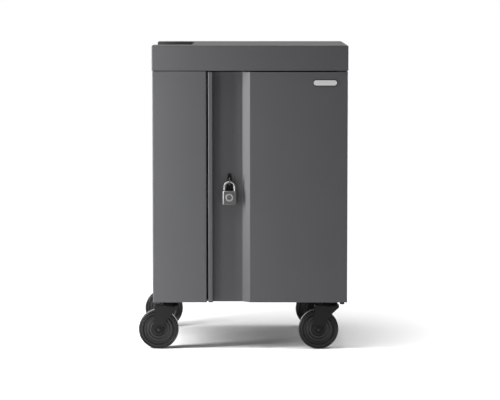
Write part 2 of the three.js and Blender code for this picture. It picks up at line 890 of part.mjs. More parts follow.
// Upright bar with round edges at its sides, bevelled at the top and bottom
function padlockBody() {
  const [x, y] = [padlockWidth / 2 - padlockEdge, padlockThickness / 2 - padlockEdge];
  const bar = new THREE.ExtrudeGeometry(roundedBox(-x, x, -y, y, padlockCorner - padlockEdge), {
    depth: padlockHeight - 2 * padlockEdge,
    bevelSize: padlockEdge,
    bevelThickness: padlockEdge,
    bevelSegments: 1,
    curveSegments: 4,
  });
  const body = solidOf(bar.translate(0, 0, padlockBottom + padlockEdge));
  const legHole = (legX, depth) => rod(
    shackleRod / 2 + runningGap, padlockTop - depth - seat, padlockTop + past,
  ).translate([legX, 0, 0]);
  const plugHole = rod(keyPlugRadius + seat, padlockBottom - past, padlockBottom + keyPlugLength + seat);
  return cut(body, legHole(crownRadius, shackleShortLeg), legHole(-crownRadius, shackleLongLeg), plugHole);
}

function padlockRing() {
  const face = -padlockThickness / 2 - seat;
  const ring = turnedY(
    roundSteps,
    [padlockRingHole, face - padlockRingHeight], [padlockRingRadius, face - padlockRingHeight],
    [padlockRingRadius, face], [padlockRingHole, face], [padlockRingHole, face - padlockRingHeight],
  );
  return ring.translate([0, 0, padlockTop - padlockRingDrop]);
}

function padlockKeyPlug() {
  const plug = rod(keyPlugRadius, padlockBottom, padlockBottom + keyPlugLength);
  const slot = block(
    -keySlotLength / 2, keySlotLength / 2,
    -keySlotWidth / 2, keySlotWidth / 2,
    padlockBottom - past, padlockBottom + keySlotDepth,
  );
  return cut(plug, slot);
}

// Caster, in its own frame: the origin is on the floor under the swivel axis, the wheel trails to -X
const legInside = hubLength / 2 + runningGap;
const legOutside = legInside + forkSheet;

function casterPlate() {
  const [x, y] = [casterPlateLength / 2, casterPlateDepth / 2];
  const plate = prismZ(roundedBox(-x, x, -y, y, casterPlateCorner), plateUnder, plateTop, 2);
  return cut(plate, rod(kingPinRadius + seat, plateUnder - past, plateTop + past));
}

function casterBearing() {
  const low = headTop + seat;
  const bore = headRadius - bearingWall;
  const edge = headRadius - bearingRound;
  return turnedZ(
    roundSteps,
    [bore, low], [edge, low], [headRadius, (low + bearingTop) / 2],
    [edge, bearingTop], [bore, bearingTop], [bore, low],
  );
}

function casterKingPin() {
  const nutTop = forkUnder - seat;
  return turnedZ(
    roundSteps,
    [0, nutTop - kingNutHeight], [kingNutRadius, nutTop - kingNutHeight], [kingNutRadius, nutTop],
    [kingPinRadius, nutTop], [kingPinRadius, plateTop - seat], [0, plateTop - seat],
  );
}

// Pressed fork: two legs that taper to the axle, under a crown that rises as a cone to the bearing
function casterFork() {
  const noseZ = forkUnder - forkSheet;
  const eyeEnd = new THREE.Vector2(forkEye, 0);
  eyeEnd.rotateAround(new THREE.Vector2(), forkEyeTurn).add(new THREE.Vector2(-casterTrail, wheelRadius));
  const nose = new THREE.Vector2(forkTopFront, noseZ);
  const along = nose.clone().sub(eyeEnd);
  const bow = new THREE.Vector2(-along.y, along.x).setLength(forkBow);
  const bend = eyeEnd.clone().addScaledVector(along, 0.5).add(bow);
  const leg = new THREE.Shape();
  leg.moveTo(-forkTopRear, forkTop);
  leg.lineTo(-casterTrail - forkEye, wheelRadius);
  leg.absarc(-casterTrail, wheelRadius, forkEye, Math.PI, 2 * Math.PI + forkEyeTurn);
  leg.quadraticCurveTo(bend.x, bend.y, nose.x, nose.y);
  leg.lineTo(forkTopFront, forkTop);
  const legs = [-legOutside, legInside].map((y) => prismY(leg, y, y + forkSheet, 4));
  const top = block(-forkTopRear, forkTopFront, -legOutside, legOutside, forkUnder, forkTop);
  const crown = turnedZ(
    roundSteps,
    [0, forkUnder], [forkTopFront, forkUnder], [forkTopFront, forkUnder + forkSheet / 2],
    [headRadius, headTop], [0, headTop],
  );
  const axleHole = turnedAlike(roundSteps, [axleRadius + seat, hubLength], [0, hubLength]);
  const pinHole = rod(kingPinRadius + runningGap, forkUnder - past, headTop + past);
  return cut(join(top, crown, ...legs), atAxle(axleHole), pinHole);
}

function atAxle(solid) {
  return solid.translate([-casterTrail, 0, wheelRadius]);
}

function casterAxle() {
  const washer = legOutside + seat;
  const head = washer + axleWasherHeight;
  const tip = head + axleHeadHeight;
  const shaft = turnedAlike(
    roundSteps,
    [axleRadius, washer], [axleWasherRadius, washer], [axleWasherRadius, head], [0, head],
  );
  const heads = turnedAlike(hexagon, [axleHeadRadius, tip], [0, tip]);
  const between = turnedAlike(roundSteps, [axleWasherRadius, washer], [0, washer]);
  return atAxle(join(shaft, cut(heads, between)));
}

function casterWheel() {
  const rim = wheelRadius - tyreThickness - runningGap;
  const hub = hubLength / 2;
  const rimSide = wheelWidth / 2 - rimLip;
  const web = wheelWidth / 2 - wheelDish;
  const bore = axleRadius + runningGap;
  return atAxle(turnedAlike(
    wheelSteps,
    [rim, rimSide], [rim - rimThickness, rimSide], [rim - rimThickness - rimSlope, web],
    [hubRadius + hubFlare, web], [hubRadius, hub], [bore, hub],
  ));
}

function casterTyre() {
  const tread = wheelRadius / Math.cos(Math.PI / tyreSteps);
  const bore = wheelRadius - tyreThickness;
  const side = wheelWidth / 2;
  return atAxle(turnedAlike(
    tyreSteps,
    [tread, side - treadEdge], [tread - tyreEdge, side],
    [bore + tyreEdge, side], [bore, side - rimLip],
  ));
}

// Assembly
const cabinet = new THREE.Group();
painted(cabinet, "left_side_panel", leftSidePanel());
painted(cabinet, "right_side_panel", rightSidePanel());
painted(cabinet, "base_pan", basePan());
painted(cabinet, "roof_panel", roofPanel());
painted(cabinet, "back_panel", backPanel());
painted(cabinet, "bay_partition", bayPartition());
painted(cabinet, "middle_shelf", middleShelf());
for (const [tier, floor] of Object.entries(tierFloors)) {
  moulded(cabinet, `${tier}_slot_rack`, slotRack(floor));
  moulded(cabinet, `${tier}_outlet_strip`, outletStrip(floor));
}
moulded(cabinet, "power_inlet", powerInlet());
painted(cabinet, "top_cover", topCover());
moulded(cabinet, "notch_liner", notchLiner());
moulded(cabinet, "push_grip", pushGrip());
plated(cabinet, "lock_strike", lockStrike());
blackened(cabinet, "upper_hinge_plate", upperHingePlate());
blackened(cabinet, "upper_hinge_pin", upperHingePin());
blackened(cabinet, "lower_hinge_pin", lowerHingePin());
cart.add(cabinet);

const door = new THREE.Group();
painted(door, "door_panel", doorPanel());
painted(door, "door_stiffener", doorStiffener());
moulded(door, "upper_hinge_bush", hingeBush(doorTop - sheet, doorTop));
moulded(door, "lower_hinge_bush", hingeBush(doorFlange, doorFlange + sheet + bushLength));
enamelled(door, "lock_tab", lockTab());
plated(door, "name_plate", namePlate());
const padlock = new THREE.Group();
padlock.position.set(lockX, lockY, lockAxisHeight);
plated(padlock, "padlock_shackle", padlockShackle());
blackened(padlock, "padlock_body", padlockBody());
plated(padlock, "padlock_ring", padlockRing());
add(padlock, "padlock_key_plug", padlockKeyPlug(), brass, 0.4, 0.9);
door.add(padlock);
cart.add(door);

const casterPlaces = {
  front_left: [left + casterFromSide, front + casterFromFront],
  front_right: [right - casterFromSide, front + casterFromFront],
  rear_left: [left + casterFromSide, back - casterFromFront],
  rear_right: [right - casterFromSide, back - casterFromFront],
};
for (const [corner, [x, y]] of Object.entries(casterPlaces)) {
  const caster = new THREE.Group();
  caster.position.set(x, y, 0);
  enamelled(caster, `${corner}_caster_plate`, casterPlate());
  enamelled(caster, `${corner}_bearing`, casterBearing());
  blackened(caster, `${corner}_king_pin`, casterKingPin());
  enamelled(caster, `${corner}_fork`, casterFork());
  blackened(caster, `${corner}_axle`, casterAxle());
  add(caster, `${corner}_wheel`, casterWheel(), darkGrey, 0.6, 0);
  add(caster, `${corner}_tyre`, casterTyre(), black, 0.8, 0);
  cart.add(caster);
}

// The origin goes to the middle of the footprint, on the floor
const bounds = new THREE.Box3().setFromObject(cart);
const middle = bounds.getCenter(new THREE.Vector3());
cart.position.set(-middle.x, -middle.y, -bounds.min.z);

export default cart;
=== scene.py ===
# Laptop charging cart: paint, castings and small hardware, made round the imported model
import json
import math

import bmesh
import bpy
from mathutils import Matrix, Vector


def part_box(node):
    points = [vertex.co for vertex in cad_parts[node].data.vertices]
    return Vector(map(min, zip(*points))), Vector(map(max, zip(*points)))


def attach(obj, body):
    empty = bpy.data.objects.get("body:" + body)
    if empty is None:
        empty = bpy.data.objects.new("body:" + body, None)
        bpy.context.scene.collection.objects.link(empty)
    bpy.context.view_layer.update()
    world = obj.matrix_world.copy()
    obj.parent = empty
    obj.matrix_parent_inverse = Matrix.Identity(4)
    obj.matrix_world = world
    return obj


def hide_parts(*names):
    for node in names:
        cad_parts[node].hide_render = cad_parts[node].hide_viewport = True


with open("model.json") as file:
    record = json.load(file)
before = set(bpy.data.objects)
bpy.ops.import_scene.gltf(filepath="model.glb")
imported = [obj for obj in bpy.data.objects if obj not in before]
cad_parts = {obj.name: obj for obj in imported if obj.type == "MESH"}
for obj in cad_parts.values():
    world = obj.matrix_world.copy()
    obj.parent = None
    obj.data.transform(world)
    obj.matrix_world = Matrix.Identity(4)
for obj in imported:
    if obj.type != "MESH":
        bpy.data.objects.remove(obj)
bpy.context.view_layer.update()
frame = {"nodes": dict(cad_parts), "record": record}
record = frame["record"]
mm = 0.001
alongX, alongY, alongZ = Vector((1, 0, 0)), Vector((0, 1, 0)), Vector((0, 0, 1))
casterCorners = ("front_left", "front_right", "rear_left", "rear_right")
tiers = ("lower", "upper")
nodeSlot = {part["node"]: part["material_slot"] for part in record["subparts"]}
nodeBody = {node: body for body, nodes in record["behaviour"]["bodies"].items() for node in nodes}


# Camera, fitted to the photograph
cameraSetup = {
    "sensor": 36.0,
    "lens": 169.24,       # for a picture 500 wide and 400 high
    "distance": 7.3952,   # from the cabinet's front face
    "height": 1.1605,
    "tiltDown": 5.2588,
    "reach": 800.0,
}


def makeCamera(setup):
    data = bpy.data.cameras.new("photo_camera")
    data.sensor_width = setup["sensor"]
    data.lens = setup["lens"]
    data.clip_end = setup["reach"]
    leftFront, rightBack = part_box("left_side_panel")[0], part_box("right_side_panel")[1]
    camera = bpy.data.objects.new("photo_camera", data)
    camera.location = ((leftFront.x + rightBack.x) / 2, leftFront.y - setup["distance"], setup["height"])
    camera.rotation_euler = (math.radians(90 - setup["tiltDown"]), 0, 0)
    bpy.context.scene.collection.objects.link(camera)
    bpy.context.scene.camera = camera


makeCamera(cameraSetup)
print("camera placed")


# Shader helpers
def addNode(tree, kind, inputs=None, **settings):
    made = tree.nodes.new(kind)
    for name, value in settings.items():
        setattr(made, name, value)
    for name, value in (inputs or {}).items():
        made.inputs[name].default_value = value
    return made


def newGroup(name, inputs, outputs):
    tree = bpy.data.node_groups.new(name, "ShaderNodeTree")
    for label, kind in inputs.items():
        tree.interface.new_socket(label, in_out="INPUT", socket_type=kind)
    for label, kind in outputs.items():
        tree.interface.new_socket(label, in_out="OUTPUT", socket_type=kind)
    return tree, addNode(tree, "NodeGroupInput"), addNode(tree, "NodeGroupOutput")


def addNoise(tree, vector, scale, detail=2.0, roughness=0.5):
    made = addNode(tree, "ShaderNodeTexNoise", {"Detail": detail, "Roughness": roughness})
    tree.links.new(vector, made.inputs["Vector"])
    tree.links.new(scale, made.inputs["Scale"])
    return made.outputs["Fac"]


def addMath(tree, operation, first, second):
    made = addNode(tree, "ShaderNodeMath", operation=operation)
    for socket, value in zip(made.inputs, (first, second)):
        if isinstance(value, (int, float)):
            socket.default_value = value
        else:
            tree.links.new(value, socket)
    return made.outputs[0]


def addBlend(tree, first, second, share):
    return addMath(tree, "ADD", addMath(tree, "MULTIPLY", first, 1 - share), addMath(tree, "MULTIPLY", second, share))


# Grain of a sprayed or moulded surface: a rolling skin, a finer grit in it, and slow clouds
def makeGrainGroup():
    tree, inside, outside = newGroup(
        "surface_grain",
        {"Vector": "NodeSocketVector", "Skin": "NodeSocketFloat", "Grit": "NodeSocketFloat",
         "Clouds": "NodeSocketFloat"},
        {"Height": "NodeSocketFloat", "Tone": "NodeSocketFloat"},
    )
    place = inside.outputs["Vector"]
    skin = addNoise(tree, place, inside.outputs["Skin"], 1.0)
    grit = addNoise(tree, place, inside.outputs["Grit"], 3.0, 0.6)
    clouds = addNoise(tree, place, inside.outputs["Clouds"], 3.0)
    tree.links.new(addBlend(tree, skin, grit, 0.35), outside.inputs["Height"])
    tree.links.new(addBlend(tree, clouds, grit, 0.3), outside.inputs["Tone"])
    return tree


# Fine lines of a brushed or drawn metal, long on the axis that the stretch squeezes
def makeBrushGroup():
    tree, inside, outside = newGroup(
        "brushed_lines",
        {"Vector": "NodeSocketVector", "Stretch": "NodeSocketVector", "Scale": "NodeSocketFloat"},
        {"Height": "NodeSocketFloat", "Tone": "NodeSocketFloat"},
    )
    stretched = addNode(tree, "ShaderNodeVectorMath", operation="MULTIPLY")
    tree.links.new(inside.outputs["Vector"], stretched.inputs[0])
    tree.links.new(inside.outputs["Stretch"], stretched.inputs[1])
    place = stretched.outputs[0]
    lines = addNoise(tree, place, inside.outputs["Scale"], 4.0, 0.65)
    broad = addNoise(tree, place, addMath(tree, "MULTIPLY", inside.outputs["Scale"], 0.2), 2.0)
    tree.links.new(lines, outside.inputs["Height"])
    tree.links.new(addBlend(tree, lines, broad, 0.5), outside.inputs["Tone"])
    return tree


grainGroup = makeGrainGroup()
brushGroup = makeBrushGroup()


def grey(value, warm=0.0):
    return (value * (1 + warm), value, value * (1 - warm))


finishLooks = {
    "cabinet_paint": {
        "group": grainGroup, "pattern": {"Skin": 620, "Grit": 2600, "Clouds": 5},
        "dark": (0.0474, 0.0480, 0.0499), "light": (0.0578, 0.0586, 0.0609), "metallic": 0.0, "specular": 0.31,
        "roughness": (0.47, 0.59), "bump": 0.16, "relief": 0.25,
    },
    "black_moulding": {
        "group": grainGroup, "pattern": {"Skin": 900, "Grit": 3200, "Clouds": 8},
        "dark": grey(0.012), "light": grey(0.018), "metallic": 0.0, "specular": 0.4,
        "roughness": (0.50, 0.66), "bump": 0.30, "relief": 0.25,
    },
    "zinc_steel": {
        "group": grainGroup, "pattern": {"Skin": 260, "Grit": 1500, "Clouds": 30},
        "dark": grey(0.30, 0.02), "light": grey(0.42, 0.01), "metallic": 1.0, "specular": 0.5,
        "roughness": (0.28, 0.46), "bump": 0.12, "relief": 0.15,
    },
    "plate_metal": {
        "group": brushGroup, "pattern": {"Stretch": (0.04, 1, 1), "Scale": 5200},
        "dark": grey(0.50), "light": grey(0.66), "metallic": 0.6, "specular": 0.5,
        "roughness": (0.34, 0.48), "bump": 0.14, "relief": 0.08,
    },
    "shackle_steel": {
        "group": brushGroup, "pattern": {"Stretch": (1, 1, 0.1), "Scale": 1800},
        "dark": grey(0.24), "light": grey(0.32), "metallic": 0.85, "specular": 0.5,
        "roughness": (0.30, 0.40), "bump": 0.06, "relief": 0.05,
    },
    "padlock_steel": {
        "group": brushGroup, "pattern": {"Stretch": (1, 1, 0.03), "Scale": 4200},
        "dark": grey(0.09), "light": grey(0.13), "metallic": 1.0, "specular": 0.5,
        "roughness": (0.34, 0.45), "bump": 0.16, "relief": 0.08,
    },
    "key_brass": {
        "group": brushGroup, "pattern": {"Stretch": (1, 0.1, 1), "Scale": 2600},
        "dark": (0.48, 0.33, 0.13), "light": (0.62, 0.45, 0.20), "metallic": 1.0, "specular": 0.5,
        "roughness": (0.26, 0.40), "bump": 0.12, "relief": 0.06,
    },
    "dark_steel": {
        "group": grainGroup, "pattern": {"Skin": 500, "Grit": 2200, "Clouds": 40},
        "dark": grey(0.014), "light": grey(0.024), "metallic": 0.3, "specular": 0.4,
        "roughness": (0.36, 0.52), "bump": 0.10, "relief": 0.12,
    },
    "black_paint": {
        "group": grainGroup, "pattern": {"Skin": 420, "Grit": 2100, "Clouds": 20},
        "dark": grey(0.003), "light": grey(0.005), "metallic": 0.0, "specular": 0.18,
        "roughness": (0.42, 0.56), "bump": 0.14, "relief": 0.20,
    },
    "wheel_plastic": {
        "group": grainGroup, "pattern": {"Skin": 700, "Grit": 2800, "Clouds": 25},
        "dark": grey(0.006, -0.05), "light": grey(0.009, -0.05), "metallic": 0.0, "specular": 0.28,
        "roughness": (0.34, 0.46), "bump": 0.20, "relief": 0.20,
    },
    "tyre_rubber": {
        "group": grainGroup, "pattern": {"Skin": 500, "Grit": 1900, "Clouds": 30},
        "dark": grey(0.004, -0.05), "light": grey(0.007, -0.05), "metallic": 0.0, "specular": 0.25,
        "roughness": (0.20, 0.28), "bump": 0.06, "relief": 0.12,
    },
}


# One finish: two tones mixed by the surface's own pattern, which also sets its gloss and relief
def makeFinish(name, look):
    material = bpy.data.materials.new(name)
    material.use_nodes = True
    tree = material.node_tree
    shader = tree.nodes["Principled BSDF"]
    shader.inputs["Metallic"].default_value = look["metallic"]
    shader.inputs["Specular IOR Level"].default_value = look["specular"]
    place = addNode(tree, "ShaderNodeTexCoord")
    pattern = addNode(tree, "ShaderNodeGroup")
    pattern.node_tree = look["group"]
    tree.links.new(place.outputs["Object"], pattern.inputs["Vector"])
    for label, value in look["pattern"].items():
        pattern.inputs[label].default_value = value
    tones = addNode(tree, "ShaderNodeMix", data_type="RGBA")
    tones.inputs["A"].default_value = (*look["dark"], 1)
    tones.inputs["B"].default_value = (*look["light"], 1)
    tree.links.new(pattern.outputs["Tone"], tones.inputs["Factor"])
    tree.links.new(tones.outputs["Result"], shader.inputs["Base Color"])
    gloss = addNode(tree, "ShaderNodeMapRange")
    gloss.inputs["To Min"].default_value, gloss.inputs["To Max"].default_value = look["roughness"]
    tree.links.new(pattern.outputs["Tone"], gloss.inputs["Value"])
    tree.links.new(gloss.outputs["Result"], shader.inputs["Roughness"])
    bump = addNode(tree, "ShaderNodeBump", {"Strength": look["bump"], "Distance": look["relief"] * mm})
    tree.links.new(pattern.outputs["Height"], bump.inputs["Height"])
    tree.links.new(bump.outputs["Normal"], shader.inputs["Normal"])
    return material


finishes = {slot: makeFinish(slot, look) for slot, look in finishLooks.items()}
for name, part in frame["nodes"].items():
    part.data.materials.clear()
    part.data.materials.append(finishes[nodeSlot[name]])
print("finishes made:", len(finishes))


# Mesh helpers; profiles and widths are in millimetres, places in metres
smoothAngle = 48
softenAngle = 40
weld = 0.001 * mm


def finishPiece(bm, name, body, slot, stands=()):
    mesh = bpy.data.meshes.new(name)
    bm.to_mesh(mesh)
    bm.free()
    mesh.shade_smooth()
    mesh.set_sharp_from_angle(angle=math.radians(smoothAngle))
    mesh.materials.append(finishes[slot])
    piece = bpy.data.objects.new(name, mesh)
    bpy.context.scene.collection.objects.link(piece)
    flats = piece.modifiers.new("flats", "WEIGHTED_NORMAL")
    flats.keep_sharp = True
    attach(piece, body)
    if stands:
        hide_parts(*stands)
    return piece


def bevelEdges(bm, edges, width, segments=2):
    bmesh.ops.bevel(bm, geom=edges, offset=width * mm, offset_type="OFFSET", segments=segments, profile=0.5,
                    affect="EDGES", clamp_overlap=True, material=-1)


def sharpEdges(edges, angle=50):
    return [edge for edge in edges if edge.is_manifold and edge.calc_face_angle() > math.radians(angle)]


def edgesAlong(bm, axis):
    return [edge for edge in bm.edges
            if abs((edge.verts[1].co - edge.verts[0].co).normalized().dot(axis)) > 0.99]


def middleOf(node):
    low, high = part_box(node)
    return (low + high) / 2


def sizeOf(node):
    low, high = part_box(node)
    return (high - low) / mm


def standing(point, axis):
    return Matrix.Translation(point) @ axis.to_track_quat("Z", "Y").to_matrix().to_4x4()


# Block with its middle at a point, sizes in millimetres
def addBlock(bm, middle, size, soft=0.0, segments=2):
    place = Matrix.Translation(middle) @ Matrix.Diagonal((*[side * mm for side in size], 1))
    verts = bmesh.ops.create_cube(bm, size=1, matrix=place)["verts"]
    edges = {edge for vert in verts for edge in vert.link_edges}
    if soft:
        bevelEdges(bm, list(edges), soft, segments)


# Nut, bolt head or short rod standing on a point
def addPrism(bm, sides, point, axis, radius, height, soft):
    place = standing(point + axis * height / 2 * mm, axis)
    made = bmesh.ops.create_cone(bm, cap_ends=True, segments=sides, radius1=radius * mm, radius2=radius * mm,
                                 depth=height * mm, matrix=place)
    bevelEdges(bm, sharpEdges({edge for vert in made["verts"] for edge in vert.link_edges}), soft)


# Turned solid: radius and height pairs spun about an axis through the centre
def addTurned(bm, profile, centre, axis, steps, ring=False):
    before = set(bm.faces)
    side = axis.orthogonal().normalized()
    verts = [bm.verts.new(centre + (side * radius + axis * height) * mm) for radius, height in profile]
    edges = [bm.edges.new(pair) for pair in zip(verts, verts[1:])]
    if ring:
        edges.append(bm.edges.new((verts[-1], verts[0])))
    bmesh.ops.spin(bm, geom=verts + edges, cent=centre, axis=axis, angle=2 * math.pi, steps=steps,
                   use_merge=True, use_duplicate=False)
    bmesh.ops.remove_doubles(bm, verts=bm.verts[:], dist=weld)
    bmesh.ops.recalc_face_normals(bm, faces=[face for face in bm.faces if face not in before])


def arcPoints(radius, height, bend, start, end, count):
    angles = [math.radians(start + (end - start) * i / count) for i in range(count + 1)]
    return [(radius + bend * math.cos(angle), height + bend * math.sin(angle)) for angle in angles]


def bothSides(half):
    return half + [(radius, -height) for radius, height in reversed(half)]


# Folded sheets and mouldings: the frame's own shapes with their flats joined and edges broken
edgeWidths = {
    "top_cover": 0.4, "left_side_panel": 0.35, "right_side_panel": 0.35, "back_panel": 0.3,
    "base_pan": 0.35, "roof_panel": 0.35, "bay_partition": 0.35, "middle_shelf": 0.4,
    "door_panel": 0.35, "door_stiffener": 0.3, "lock_strike": 0.4,
    "upper_hinge_plate": 0.4, "upper_hinge_pin": 0.4, "lower_hinge_pin": 0.4,
    "upper_hinge_bush": 0.25, "lower_hinge_bush": 0.25,
    "lower_slot_rack": 0.6, "upper_slot_rack": 0.6, "notch_liner": 0.5,
    "power_inlet": 0.3, "padlock_body": 0.3, "padlock_key_plug": 0.2,
    **{f"{corner}_caster_plate": 0.4 for corner in casterCorners},
    **{f"{corner}_fork": 0.5 for corner in casterCorners},
}


# Upright corners that are shaped again: the cover's folded tighter, the padlock's heel side cut flat
cornerLooks = {
    "top_cover": {"radius": 8.0, "tighter": 4.8, "sides": (-1, 1)},
    "padlock_body": {"radius": 6.0, "tighter": 0.0, "sides": (-1,)},
}


def shapeCorners(bm, node, look):
    low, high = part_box(node)
    middle, radius = (low + high) / 2, look["radius"] * mm
    for vert in bm.verts:
        right, behind = vert.co.x > middle.x, vert.co.y > middle.y
        sideX, sideY = (1 if right else -1), (1 if behind else -1)
        arcX = high.x - radius if right else low.x + radius
        arcY = high.y - radius if behind else low.y + radius
        out = Vector(((vert.co.x - arcX) * sideX, (vert.co.y - arcY) * sideY))
        if sideX not in look["sides"] or min(out) < -weld or out.length < radius / 2:
            continue
        aim = out.normalized()
        if look["tighter"]:
            out += (Vector((1, 1)) - aim) * look["tighter"] * mm
        else:
            out = aim * out.length / sum(aim)
        vert.co.x, vert.co.y = arcX + out.x * sideX, arcY + out.y * sideY


def softenedCopy(node, width):
    bm = bmesh.new()
    bm.from_mesh(frame["nodes"][node].data)
    bmesh.ops.remove_doubles(bm, verts=bm.verts[:], dist=weld)
    if node in cornerLooks:
        shapeCorners(bm, node, cornerLooks[node])
    bmesh.ops.dissolve_limit(bm, angle_limit=math.radians(0.5), use_dissolve_boundaries=False,
                             verts=bm.verts[:], edges=bm.edges[:], delimit=set())
    bevelEdges(bm, sharpEdges(bm.edges, softenAngle), width)
    return finishPiece(bm, f"smooth_{node}", nodeBody[node], nodeSlot[node], [node])


for node, width in edgeWidths.items():
    softenedCopy(node, width)
print("sheets and mouldings softened:", len(edgeWidths))


# Caster tyre, grooved in its side and rounded at the tread
tyreLook = {"steps": 96, "tread": 4.5, "treadSteps": 6, "groove": 1.2, "grooveWidth": 2.2, "grooveIn": 6.8, "bead": 1.2}


def casterTyre(corner, look):
    size = sizeOf(f"{corner}_tyre")
    outer, side, inner = size.z / 2, size.y / 2, sizeOf(f"{corner}_wheel").z / 2
    middle, half = outer - look["grooveIn"], look["grooveWidth"] / 2
    wall = [
        (inner, side - look["bead"]), (inner + 0.7 * look["bead"], side - 0.3 * look["bead"]),
        (inner + look["bead"], side), (middle - half, side), (middle, side - look["groove"]), (middle + half, side),
        *arcPoints(outer - look["tread"], side - look["tread"], look["tread"], 90, 0, look["treadSteps"]),
    ]
    bm = bmesh.new()
    addTurned(bm, bothSides(wall), middleOf(f"{corner}_tyre"), alongY, look["steps"], ring=True)
    finishPiece(bm, f"{corner}_round_tyre", nodeBody[f"{corner}_tyre"], "tyre_rubber", [f"{corner}_tyre"])


# Caster wheel: a disc that ripples in rings from its hub out to its rim
wheelLook = {
    "steps": 96, "bore": 5.4, "hub": 16.0, "hubRound": 1.6, "web": 12.0,
    "rings": 3, "ringRise": 1.6, "ringSteps": 6, "rimSide": 14.6,
}


def casterWheel(corner, look):
    size = sizeOf(f"{corner}_wheel")
    rim, hubEnd, hub, soft = size.z / 2, size.y / 2, look["hub"], look["hubRound"]
    face = [
        (look["bore"], hubEnd), (hub - soft, hubEnd), (hub - 0.4 * soft, hubEnd - 0.2 * soft),
        (hub, hubEnd - soft), (hub + soft, look["web"]),
    ]
    start, end = hub + 2 * soft, rim - 1.5 * soft
    count = look["rings"] * look["ringSteps"]
    for i in range(count + 1):
        turn = 2 * math.pi * i / look["ringSteps"]
        face.append((start + (end - start) * i / count, look["web"] + look["ringRise"] * (1 - math.cos(turn)) / 2))
    face += [(rim - soft, look["rimSide"]), (rim - 0.6, look["rimSide"]), (rim, look["rimSide"] - 0.6)]
    bm = bmesh.new()
    addTurned(bm, bothSides(face), middleOf(f"{corner}_wheel"), alongY, look["steps"], ring=True)
    finishPiece(bm, f"{corner}_ringed_wheel", nodeBody[f"{corner}_wheel"], "wheel_plastic", [f"{corner}_wheel"])


# Axle: a shaft with a cupped washer and a nut on each side, and its turned ends
axleLook = {
    "shaft": 5.0, "washer": 11.0, "washerThick": 1.6, "proud": 5.0, "cup": 2.4, "lip": 1.7, "edge": 0.4,
    "nut": 6.6, "nutThick": 3.4, "end": 3.6, "steps": 48,
}


def casterAxle(corner, look):
    node = f"{corner}_axle"
    body, middle, tip = nodeBody[node], middleOf(node), sizeOf(node).y / 2
    washer, edge, inside = look["washer"], look["edge"], look["washer"] - look["lip"]
    floorAt = tip - look["proud"]
    seatAt, lipAt = floorAt - look["washerThick"], floorAt + look["cup"]
    half = [
        (0, floorAt), (inside, floorAt), (inside, lipAt - edge), (inside + edge, lipAt), (washer - edge, lipAt),
        (washer, lipAt - edge), (washer, seatAt), (look["shaft"], seatAt),
    ]
    shaft, nuts, ends = bmesh.new(), bmesh.new(), bmesh.new()
    addTurned(shaft, bothSides(half), middle, alongY, look["steps"])
    for out in (alongY, -alongY):
        seatPoint = middle + out * floorAt * mm
        addPrism(nuts, 6, seatPoint, out, look["nut"], look["nutThick"], look["edge"])
        addPrism(ends, look["steps"], seatPoint, out, look["end"], look["proud"], look["edge"])
    finishPiece(shaft, f"{corner}_axle_shaft", body, "black_paint", [node])
    finishPiece(nuts, f"{corner}_axle_nuts", body, "black_paint")
    finishPiece(ends, f"{corner}_axle_ends", body, "dark_steel")


# Swivel head: a bearing shell with its race line, and the king pin with its nut
headLook = {"steps": 72, "wall": 6.0, "bulge": 2.2, "race": 0.7, "pin": 6.0, "nut": 12.0, "nutThick": 6.5}


def casterHead(corner, look):
    node = f"{corner}_bearing"
    size, middle = sizeOf(node), middleOf(node)
    outer, half, race = size.x / 2, size.z / 2, look["race"]
    shell = [
        (outer - look["wall"], half), (outer - look["bulge"], half),
        *arcPoints(outer - look["bulge"], half - look["bulge"], look["bulge"], 80, 10, 4),
        (outer, race), (outer - race, 0),
    ]
    bm = bmesh.new()
    addTurned(bm, bothSides(shell)[:-1], middle, alongZ, look["steps"], ring=True)
    finishPiece(bm, f"{corner}_bearing_shell", nodeBody[node], "black_paint", [node])
    node = f"{corner}_king_pin"
    low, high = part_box(node)
    foot = Vector((middle.x, middle.y, low.z))
    bm = bmesh.new()
    addPrism(bm, 6, foot, alongZ, look["nut"], look["nutThick"], 0.5)
    addPrism(bm, 32, foot + alongZ * look["nutThick"] / 2 * mm, alongZ, look["pin"],
             (high.z - low.z) / mm - look["nutThick"] / 2, 0.4)
    finishPiece(bm, f"{corner}_king_bolt", nodeBody[node], "dark_steel", [node])


# Bolt heads under each caster plate
plateBolts = {"apartX": 74.6, "apartY": 44.5, "head": 6.2, "headThick": 3.6, "washer": 7.0, "washerThick": 0.9}


def casterBolts(corner, look):
    node = f"{corner}_caster_plate"
    middle, under = middleOf(node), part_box(node)[0].z
    bm = bmesh.new()
    for sideX in (-1, 1):
        for sideY in (-1, 1):
            point = Vector((middle.x + sideX * look["apartX"] / 2 * mm, middle.y + sideY * look["apartY"] / 2 * mm, under))
            addPrism(bm, 32, point, -alongZ, look["washer"], look["washerThick"], 0.2)
            addPrism(bm, 6, point - alongZ * look["washerThick"] * mm, -alongZ, look["head"], look["headThick"], 0.4)
    finishPiece(bm, f"{corner}_plate_bolts", nodeBody[node], "dark_steel")


for corner in casterCorners:
    casterTyre(corner, tyreLook)
    casterWheel(corner, wheelLook)
    casterAxle(corner, axleLook)
    casterHead(corner, headLook)
    casterBolts(corner, plateBolts)
print("casters made")


# Padlock shackle: one rod bent over the tab, the short leg on the right
shackleLook = {"rod": 6.4, "sides": 24, "crownSteps": 32, "legDifference": 16.0, "tip": 0.8}


def extrudeFace(bm, face, along):
    made = bmesh.ops.extrude_face_region(bm, geom=[face])["geom"]
    bmesh.ops.translate(bm, verts=[item for item in made if isinstance(item, bmesh.types.BMVert)], vec=along)
    return [item for item in made if isinstance(item, bmesh.types.BMFace)][0]


